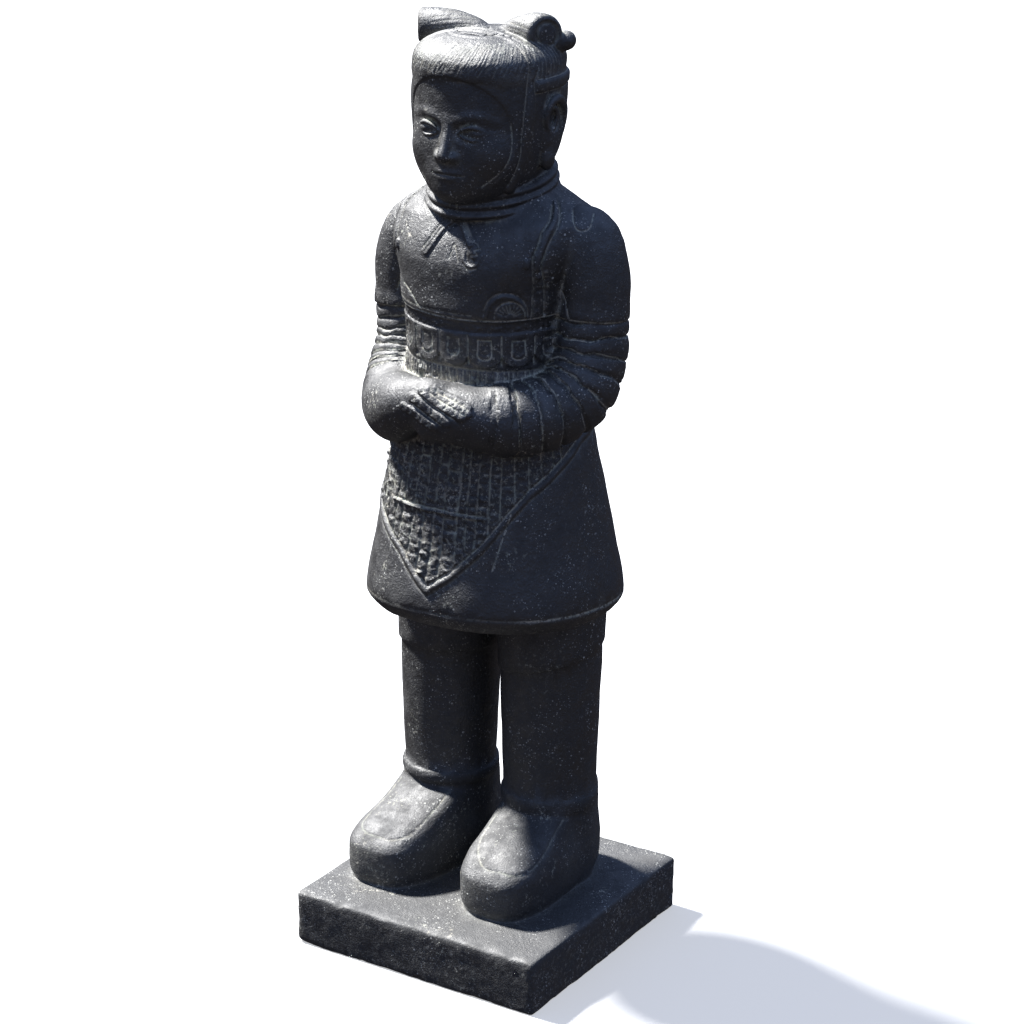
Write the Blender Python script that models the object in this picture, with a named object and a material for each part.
"""Temple guardian statue: a standing robed guard with folded hands, carved with its square slab
from one block of dark stone.

The figure faces -Y, its left hand side is +X, and the slab rests on Z = 0.
Every carved part is a closed solid of its own first, and Boolean unions make one block of them.
"""
import math

import bmesh
import bpy
from mathutils import Vector

# Driving dimensions, in metres
SLAB_SIDE = 0.304
SLAB_HEIGHT = 0.060
SLAB_BEVEL = 0.005

LEG_X = {"right": -0.0780, "left": 0.0508}
LEG_Y = 0.043
ANKLE_HEIGHT = 0.158
ANKLE_ROLL = 0.0075
ANKLE_RISE = 0.0040
SHIN_BOTTOM = 0.182
SHIN_TOP = 0.303
SHIN_STEP = 0.045
CUFF_HEIGHT = 0.315
CUFF_RISE = 0.0035
KNEE = 0.350
THIGH = 0.372           # where a leg goes in under the hem
LEG_TOP = 0.404
SHOE_TURN = {"right": 0.10, "left": -0.03}      # shift in x for each metre further back
HEEL_TAPER = 0.3

HEM_BOTTOM = 0.384
HEM_EDGE = 0.402
HEM_DROP = 0.060        # how much lower the hem runs for each metre further back
HEM_FRONT = -0.110
HEM_LEAN = 0.035        # how much higher it runs for each metre to the left hand side
DROP_END = 0.480
SKIRT_TOP = 0.580
NECK_TOP = 0.870
COLLAR_HEIGHT = 0.837
COLLAR_RISE = 0.16      # how much higher the collar sits for each metre further back
BODY_EXPONENT = 2.3

HEAD_BOTTOM = 0.826
HEAD_TOP = 0.990

APRON_TIP_HEIGHT = 0.428
APRON_TIP_X = -0.008
APRON_ARMS = {"left": (0.098, 0.562), "right": (-0.098, 0.502)}     # ends in x and z
BORDER_WIDTH = 0.008
BORDER_RISE = 0.003
BORDER_SINK = 0.006
BREASTPLATE_EDGE = 0.7155
BREASTPLATE_HALF = 0.075
BREASTPLATE_DIP = 0.018
BELT_EDGES = {"top": 0.697, "bottom": 0.662}
BELT_HALF = 0.072
BELT_EDGE_WIDTH = 0.005

SLEEVE_FOLD = 0.018
FOLD_DEPTH = 0.0022
FINGER_RADIUS = 0.0058
PLAIN_SLEEVE = 0.090
PLAIN_STEP = 0.024

HAIR_FRONT_HEIGHT = 0.963
HAIR_FRONT_ARC = math.radians(66.0)
HAIR_FRONT_RADIUS = 0.0140

SHARP_ANGLE = math.radians(38.0)        # edges bent further than this stay crisp
NUDGE = 0.002                           # the short way along a form that tells its slope

# How finely the round shapes are faceted
BODY_SIDES = 36
LEG_SIDES = 18
SHOE_SIDES = 22
ARM_SIDES = 12
HAND_SIDES = 12
FINGER_SIDES = 7
HEAD_SIDES = 24
LOCK_SIDES = 10
ROLL_SIDES = 14
EAR_SIDES = 8

# Stations of the body: height, half width, half depth, middle in x, middle in y
BODY = (
    (HEM_BOTTOM, 0.118, 0.108, -0.002, 0.012),
    (HEM_BOTTOM + 0.004, 0.1275, 0.117, -0.0015, 0.012),
    (HEM_EDGE, 0.1345, 0.124, -0.0015, 0.012),
    (0.420, 0.1340, 0.123, -0.0015, 0.012),
    (0.460, 0.1250, 0.115, -0.002, 0.012),
    (0.520, 0.1130, 0.106, -0.003, 0.012),
    (SKIRT_TOP, 0.1000, 0.096, -0.003, 0.012),
    (0.620, 0.092, 0.091, -0.003, 0.013),
    (0.680, 0.088, 0.090, -0.003, 0.014),
    (0.740, 0.096, 0.091, -0.003, 0.011),
    (0.765, 0.104, 0.090, -0.002, 0.010),
    (0.785, 0.109, 0.0855, -0.001, 0.0115),
    (0.806, 0.108, 0.0745, 0.000, 0.0125),
    (0.822, 0.086, 0.0615, 0.000, 0.0115),
    (0.838, 0.062, 0.053, 0.000, 0.008),
    (NECK_TOP, 0.046, 0.046, 0.000, 0.004),
)

# Stations of a leg: height, radius
LEG = (
    (0.125, 0.0500),
    (0.180, 0.0510),
    (0.250, 0.0535),
    (CUFF_HEIGHT, 0.0550),
    (THIGH, 0.0555),
    (LEG_TOP, 0.0420),
)

# Stations of a shoe: height, front in y, back in y, half width
SHOE = (
    (SLAB_HEIGHT - 0.010, -0.091, 0.103, 0.046),
    (SLAB_HEIGHT + 0.014, -0.097, 0.110, 0.050),
    (0.100, -0.097, 0.111, 0.051),
    (0.114, -0.086, 0.110, 0.049),
    (0.128, -0.057, 0.108, 0.046),
    (0.140, -0.028, 0.105, 0.045),
    (0.1515, -0.006, 0.101, 0.046),
)
TOE_EXPONENT = 3.2
HEEL_EXPONENT = 2.8

# Stations of the head: height, half width, half depth, middle in y
HEAD = (
    (HEAD_BOTTOM, 0.024, 0.030, -0.032),
    (0.834, 0.040, 0.050, -0.030),
    (0.850, 0.055, 0.066, -0.020),
    (0.875, 0.066, 0.075, -0.012),
    (0.905, 0.072, 0.078, -0.009),
    (0.935, 0.074, 0.079, -0.008),
    (0.958, 0.0725, 0.0785, -0.0075),
    (0.968, 0.0720, 0.0785, -0.007),
    (0.978, 0.0670, 0.0735, -0.007),
    (HEAD_TOP, 0.048, 0.054, -0.007),
)

# Middle line of an arm, from the shoulder to the wrist, then its radius
LEFT_ARM = (
    (0.062, 0.014, 0.792, 0.022),
    (0.097, 0.018, 0.787, 0.0355),
    (0.109, 0.018, 0.750, 0.0375),
    (0.109, 0.017, 0.705, 0.037),
    (0.110, 0.010, 0.668, 0.038),
    (0.108, -0.007, 0.638, 0.038),
    (0.092, -0.033, 0.620, 0.0375),
    (0.070, -0.062, 0.614, 0.037),
    (0.048, -0.082, 0.615, 0.034),
    (0.026, -0.098, 0.617, 0.028),
    (0.002, -0.108, 0.613, 0.022),
)
RIGHT_ARM = (
    (-0.062, 0.014, 0.790, 0.022),
    (-0.096, 0.014, 0.776, 0.0345),
    (-0.111, 0.015, 0.744, 0.0375),
    (-0.112, 0.016, 0.698, 0.0370),
    (-0.107, 0.010, 0.656, 0.037),
    (-0.103, -0.010, 0.624, 0.038),
    (-0.092, -0.038, 0.606, 0.038),
    (-0.072, -0.068, 0.603, 0.035),
    (-0.050, -0.090, 0.611, 0.030),
    (-0.030, -0.104, 0.622, 0.024),
)

# Stations of the right hand: the middle of a ring, half its thickness, half its breadth
RIGHT_HAND = (
    (-0.046, -0.094, 0.615, 0.024, 0.026),
    (-0.022, -0.101, 0.627, 0.026, 0.031),
    (0.006, -0.103, 0.630, 0.026, 0.032),
    (0.032, -0.101, 0.628, 0.024, 0.030),
    (0.052, -0.094, 0.624, 0.018, 0.023),
)

# Each finger: its knuckle and its tip in x and z
FINGERS = (
    ((0.008, 0.656), (0.056, 0.643)),
    ((-0.002, 0.646), (0.053, 0.630)),
    ((-0.010, 0.636), (0.041, 0.617)),
    ((-0.020, 0.625), (0.016, 0.609)),
)

# Stations of the collar: height off its middle, half width, half depth
COLLAR = (
    (-0.014, 0.061, 0.066),
    (-0.009, 0.067, 0.072),
    (-0.004, 0.0645, 0.0695),
    (0.000, 0.066, 0.071),
    (0.005, 0.063, 0.068),
    (0.009, 0.064, 0.069),
    (0.013, 0.061, 0.066),
    (0.014, 0.055, 0.060),
)

# Stations of the nose: height, its ridge in y, half width
NOSE = (
    (0.914, -0.088, 0.004),
    (0.898, -0.092, 0.006),
    (0.886, -0.097, 0.009),
    (0.881, -0.090, 0.008),
)
NOSE_ROOT = -0.070


def blend(rows, t):
    """The row at t on a smooth curve through rows, each of which starts with its own t."""
    last = len(rows) - 1
    place = 0
    while place < last - 1 and rows[place + 1][0] <= t:
        place += 1
    before, start, end, after = (rows[min(max(place + k, 0), last)] for k in (-1, 0, 1, 2))
    span = end[0] - start[0]
    u = min(max((t - start[0]) / span, 0.0), 1.0)
    out = []
    for a, b, c, d in zip(before[1:], start[1:], end[1:], after[1:]):
        left = (c - a) / max(end[0] - before[0], span) * span
        right = (d - b) / max(after[0] - start[0], span) * span
        if (c - b) * (b - a) <= 0.0:
            left = 0.0
        if (c - b) * (d - c) <= 0.0:
            right = 0.0
        h = u * u * (3.0 - 2.0 * u)
        out.append(b + (c - b) * h + left * (u - 2 * u * u + u ** 3) + right * (u ** 3 - u * u))
    return out


def heights(low, high, step):
    """Even levels from low to high, no further apart than step."""
    count = max(1, math.ceil((high - low) / step - 1e-6))
    return [low + (high - low) * k / count for k in range(count + 1)]


def oval(middle, half_x, half_y, sides, exponent=2.0, back_exponent=None):
    """A level ring: an ellipse, squarer where the exponent is over 2."""
    ring = []
    for k in range(sides):
        angle = 2.0 * math.pi * k / sides
        c, s = math.cos(angle), math.sin(angle)
        power = 2.0 / (back_exponent if back_exponent and s > 0.0 else exponent)
        x = math.copysign(abs(c) ** power, c)
        y = math.copysign(abs(s) ** power, s)
        ring.append(Vector(middle) + Vector((half_x * x, half_y * y, 0.0)))
    return ring


def solid(name, rings):
    """A closed solid through rings of equally many points, with flat ends."""
    mesh = bpy.data.meshes.new(name)
    bm = bmesh.new()
    loops = [[bm.verts.new(point) for point in ring] for ring in rings]
    count = len(loops[0])
    for lower, upper in zip(loops, loops[1:]):
        for k in range(count):
            bm.faces.new((lower[k], lower[(k + 1) % count], upper[(k + 1) % count], upper[k]))
    bm.faces.new(list(reversed(loops[0])))
    bm.faces.new(loops[-1])
    bmesh.ops.recalc_face_normals(bm, faces=bm.faces)
    bmesh.ops.triangulate(bm, faces=bm.faces)
    bm.to_mesh(mesh)
    bm.free()
    mesh.shade_smooth()
    mesh.set_sharp_from_angle(angle=SHARP_ANGLE)
    piece = bpy.data.objects.new(name, mesh)
    bpy.context.collection.objects.link(piece)
    return piece


def ring_around(centre, along, up_hint, half_side, half_up, sides, exponent=2.0):
    """A ring in the plane across the direction along."""
    along = along.normalized()
    side = along.cross(up_hint).normalized()
    up = side.cross(along).normalized()
    flat = oval((0.0, 0.0, 0.0), half_side, half_up, sides, exponent)
    return [centre + side * point.x + up * point.y for point in flat]


def path_rows(points):
    """Rows (distance, x, y, z, radius) for a middle line given as (x, y, z, radius)."""
    rows = []
    distance = 0.0
    for k, point in enumerate(points):
        if k:
            distance += (Vector(point[:3]) - Vector(points[k - 1][:3])).length
        rows.append((distance, *point))
    return rows


def limb(name, points, sides, step, plain_length=0.0, swell=None):
    """A tube along a smooth middle line; past its plain start, swell(distance) varies its radius."""
    rows = path_rows(points)
    length = rows[-1][0]
    rings = []
    places = heights(0.0, plain_length, PLAIN_STEP)[:-1] if plain_length else []
    for s in places + heights(plain_length, length, step):
        x, y, z, radius = blend(rows, s)
        ahead = Vector(blend(rows, min(s + NUDGE, length))[:3])
        behind = Vector(blend(rows, max(s - NUDGE, 0.0))[:3])
        if swell:
            radius += swell(s, length)
        rings.append(ring_around(Vector((x, y, z)), ahead - behind, Vector((0.0, -1.0, 0.6)),
                                 radius, radius, sides))
    return solid(name, rings)


def body_front(x, z):
    """The y of the body's front surface at x and z."""
    half_x, half_y, middle_x, middle_y = blend(BODY, z)
    inside = max(0.0, 1.0 - abs((x - middle_x) / half_x) ** BODY_EXPONENT)
    return middle_y - half_y * inside ** (1.0 / BODY_EXPONENT)


def make_slab():
    """The square slab, with its edges worn round."""
    half = SLAB_SIDE / 2.0
    rings = []
    for z in (0.0, SLAB_HEIGHT):
        corners = ((-half, -half), (half, -half), (half, half), (-half, half))
        rings.append([Vector((x, y, z)) for x, y in corners])
    slab = solid("slab", rings)
    bevel = slab.modifiers.new("worn_edges", "BEVEL")
    bevel.width = SLAB_BEVEL
    bevel.segments = 2
    return slab


def make_leg(side):
    """A trouser leg, with the rolled top of its shoe and the turned-up band above the knee."""
    rolls = [ANKLE_HEIGHT + ANKLE_ROLL * k for k in (-1.15, -1.0, -0.5, 0.4, 1.0, 1.15)]
    cuff = [CUFF_HEIGHT - 0.001, CUFF_HEIGHT + 0.001]
    levels = [LEG[0][0]] + rolls + heights(SHIN_BOTTOM, SHIN_TOP, SHIN_STEP) + cuff
    levels += [KNEE, THIGH, LEG_TOP]
    rings = []
    for z in levels:
        radius, = blend(LEG, z)
        inside = 1.0 - ((z - ANKLE_HEIGHT) / ANKLE_ROLL) ** 2
        if inside >= -1e-6:
            radius += ANKLE_RISE * (0.5 + 0.5 * math.sqrt(max(inside, 0.0)))
        if z > CUFF_HEIGHT:
            radius += CUFF_RISE
        rings.append(oval((LEG_X[side], LEG_Y, z), radius, radius, LEG_SIDES))
    return solid("leg_" + side, rings)


def make_shoe(side):
    """A blunt cloth shoe, wider at the toe than at the heel, turned out a little."""
    rings = []
    for row in SHOE:
        z, front, back, half_width = row
        middle = (LEG_X[side], (front + back) / 2.0, z)
        ring = oval(middle, half_width, (back - front) / 2.0, SHOE_SIDES, TOE_EXPONENT, HEEL_EXPONENT)
        for point in ring:
            from_ankle = point.y - LEG_Y
            point.x = LEG_X[side] + (point.x - LEG_X[side]) * (1.0 - HEEL_TAPER * max(from_ankle, 0.0))
            point.x += SHOE_TURN[side] * min(from_ankle, 0.0) * (1.0 if z < 0.11 else 0.6)
        rings.append(ring)
    return solid("shoe_" + side, rings)


def make_body():
    """Skirt, chest, shoulders and neck in one smooth form."""
    rings = []
    levels = [row[0] for row in BODY[:4]] + heights(0.440, NECK_TOP, 0.0196)
    for z in levels:
        half_x, half_y, middle_x, middle_y = blend(BODY, z)
        ring = oval((middle_x, middle_y, z), half_x, half_y, BODY_SIDES, BODY_EXPONENT)
        drop = HEM_DROP * min(1.0, max(0.0, (DROP_END - z) / (DROP_END - HEM_EDGE)))
        for point in ring:
            point.z += drop * (HEM_LEAN / HEM_DROP * point.x - point.y + HEM_FRONT)
        rings.append(ring)
    return solid("body", rings)


def folds(s, length):
    """How far the rings of the pushed-up sleeve stand out at a distance along the arm."""
    if s < PLAIN_SLEEVE:
        return 0.0
    fade = min(1.0, max(0.0, (length - 0.065 - s) / 0.006))
    return FOLD_DEPTH * fade * (2.0 * abs(math.sin(math.pi * (s - PLAIN_SLEEVE) / SLEEVE_FOLD)) - 1.0)


def make_arms():
    """Both arms, the lower sleeves pushed up into rings."""
    step = SLEEVE_FOLD / 2.0
    return [
        limb("arm_left", LEFT_ARM, ARM_SIDES, step, PLAIN_SLEEVE, folds),
        limb("arm_right", RIGHT_ARM, ARM_SIDES, step, PLAIN_SLEEVE, folds),
    ]


def make_right_hand():
    """The back of the right hand, flattened, up to under the fingers."""
    rings = []
    along = Vector(RIGHT_HAND[-1][:3]) - Vector(RIGHT_HAND[0][:3])
    for x, y, z, half_thick, half_broad in RIGHT_HAND:
        rings.append(ring_around(Vector((x, y, z)), along, Vector((0.0, 0.0, 1.0)),
                                 half_thick, half_broad, HAND_SIDES))
    return solid("right_hand", rings)


def make_fingers():
    """Four fingers of the right hand, laid over the left wrist."""
    fingers = []
    for k, ((x0, z0), (x1, z1)) in enumerate(FINGERS):
        points = (
            (x0 - 0.018, -0.116, z0 + 0.003, FINGER_RADIUS * 0.9),
            (x0, -0.128, z0, FINGER_RADIUS),
            ((x0 + x1) / 2.0, -0.130, (z0 + z1) / 2.0, FINGER_RADIUS),
            (x1, -0.126, z1, FINGER_RADIUS * 0.8),
        )
        fingers.append(limb("finger_%d" % (k + 1), points, FINGER_SIDES, 0.017))
    return fingers


def make_head():
    """The head, with the mass of its tied-up hair."""
    rings = []
    for z in heights(HEAD_BOTTOM, HEAD_TOP, 0.0145):
        half_x, half_y, middle_y = blend(HEAD, z)
        rings.append(oval((0.0, middle_y, z), half_x, half_y, HEAD_SIDES, 2.15))
    return solid("head", rings)


def make_hair_front():
    """The thick swept-back lock over the brow."""
    points = []
    for k in range(7):
        angle = HAIR_FRONT_ARC * (k / 3.0 - 1.0)
        x = 0.060 * math.sin(angle)
        y = -0.008 - 0.068 * math.cos(angle)
        points.append((x, y, HAIR_FRONT_HEIGHT + 0.002 * math.cos(angle), HAIR_FRONT_RADIUS))
    return limb("hair_front", points, LOCK_SIDES, 0.018)


def make_hair_rolls():
    """Two rolls of hair that run out to the sides over the crown."""
    rolls = []
    for name, side, lift in (("left", 1.0, 0.002), ("right", -1.0, 0.0)):
        points = (
            (-0.010 * side + lift, 0.004, 0.982 + lift, 0.010),
            (0.020 * side, 0.001, 0.990 + lift, 0.016),
            (0.048 * side, -0.003, 0.993 + lift, 0.0200),
            (0.070 * side, -0.010, 0.992 + lift, 0.0190),
        )
        rolls.append(limb("hair_roll_" + name, points, ROLL_SIDES, 0.014))
    tail = ((0.052, 0.016, 0.972, 0.008), (0.066, 0.022, 0.980, 0.009), (0.079, 0.028, 0.984, 0.007))
    rolls.append(limb("hair_knot", tail, EAR_SIDES, 0.010))
    return rolls


def make_collar():
    """Three rolled rings round the neck, higher at the nape."""
    rings = []
    for off, half_x, half_y in COLLAR:
        ring = oval((-0.001, 0.001, 0.0), half_x, half_y, HEAD_SIDES)
        for point in ring:
            point.z = COLLAR_HEIGHT + off + COLLAR_RISE * point.y
        rings.append(ring)
    return solid("collar", rings)


def make_ears():
    """Long ears, close to the head."""
    ears = []
    for name, side in (("left", 1.0), ("right", -1.0)):
        points = (
            (0.064 * side, 0.000, 0.936, 0.007),
            (0.068 * side, 0.002, 0.918, 0.012),
            (0.066 * side, -0.002, 0.895, 0.009),
            (0.060 * side, -0.006, 0.872, 0.006),
        )
        ears.append(limb("ear_" + name, points, EAR_SIDES, 0.014))
    return ears


def make_nose():
    """A plain straight nose, as a three-sided wedge."""
    rings = []
    for z, tip, half in NOSE:
        rings.append([Vector((-half, NOSE_ROOT, z)), Vector((0.0, tip, z)), Vector((half, NOSE_ROOT, z))])
    return solid("nose", rings)


def ribbon(name, points, width):
    """A flat raised strip laid on the body's front through points (x, z)."""
    rings = []
    for k, (x, z) in enumerate(points):
        x0, z0 = points[max(k - 1, 0)]
        x1, z1 = points[min(k + 1, len(points) - 1)]
        here = Vector((x, body_front(x, z), z))
        along = Vector((x1, body_front(x1, z1), z1)) - Vector((x0, body_front(x0, z0), z0))
        slope = (body_front(x + NUDGE, z) - body_front(x - NUDGE, z)) / (2.0 * NUDGE)
        out = Vector((slope, -1.0, 0.0)).normalized()
        side = along.cross(out).normalized() * (width / 2.0)
        top = here + out * BORDER_RISE
        bottom = here - out * BORDER_SINK
        rings.append([bottom - side, bottom + side, top + side * 0.7, top - side * 0.7])
    return solid(name, rings)


def make_apron_border():
    """The raised V that edges the armoured apron, its left arm carried up to the forearm."""
    borders = []
    for name, (end_x, end_z) in APRON_ARMS.items():
        points = []
        for k in range(7):
            t = k / 6.0
            x = APRON_TIP_X + (end_x - APRON_TIP_X) * t
            z = APRON_TIP_HEIGHT + (end_z - APRON_TIP_HEIGHT) * t
            points.append((x, z))
        borders.append(ribbon("apron_border_" + name, points, BORDER_WIDTH))
    return borders


def make_breastplate_edge():
    """The raised lower edge of the breastplate, dipping to its middle."""
    points = []
    for k in range(9):
        t = -1.0 + k / 4.0
        points.append((-0.001 + BREASTPLATE_HALF * t, BREASTPLATE_EDGE + BREASTPLATE_DIP * t * t))
    return ribbon("breastplate_edge", points, 0.006)


def make_belt():
    """The band of belt plates under the breastplate, between two raised edges."""
    edges = []
    for name, height in BELT_EDGES.items():
        points = [(-0.002 + BELT_HALF * (k / 4.0 - 1.0), height) for k in range(9)]
        edges.append(ribbon("belt_" + name, points, BELT_EDGE_WIDTH))
    return edges


def make_bow():
    """The small bow under the collar, with its two short ends."""
    knot = ribbon("bow_knot", ((-0.006, 0.814), (0.000, 0.806), (0.004, 0.800)), 0.014)
    ends = [
        ribbon("bow_end_right", ((-0.006, 0.808), (-0.016, 0.795), (-0.026, 0.783)), 0.010),
        ribbon("bow_end_left", ((0.004, 0.806), (0.012, 0.790), (0.018, 0.772)), 0.014),
    ]
    return [knot] + ends


def stone():
    """Dark, slightly bluish stone."""
    material = bpy.data.materials.new("dark_stone")
    material.use_nodes = True
    shader = material.node_tree.nodes["Principled BSDF"]
    shader.inputs["Base Color"].default_value = (0.030, 0.032, 0.036, 1.0)
    shader.inputs["Roughness"].default_value = 0.5
    shader.inputs["Metallic"].default_value = 0.0
    return material


def unite(block, pieces):
    """Joins pieces to the block by Boolean unions, and hides them."""
    for piece in pieces:
        join = block.modifiers.new("with_" + piece.name, "BOOLEAN")
        join.operation = "UNION"
        join.solver = "EXACT"
        join.object = piece
        piece.hide_render = True
        piece.display_type = "WIRE"


def main():
    for item in list(bpy.data.objects):
        bpy.data.objects.remove(item, do_unlink=True)
    statue = make_body()
    pieces = []
    for side in ("right", "left"):
        pieces += [make_leg(side), make_shoe(side)]
    pieces += [*make_apron_border(), make_breastplate_edge(), *make_belt()]
    pieces += make_arms()
    pieces += [make_head(), make_collar(), make_hair_front(), *make_hair_rolls()]
    pieces += [*make_ears(), make_nose(), *make_bow(), make_right_hand(), *make_fingers()]
    pieces.append(make_slab())
    unite(statue, pieces)
    statue.name = "statue"
    statue.data.name = "statue"
    statue.data.materials.append(stone())


main()
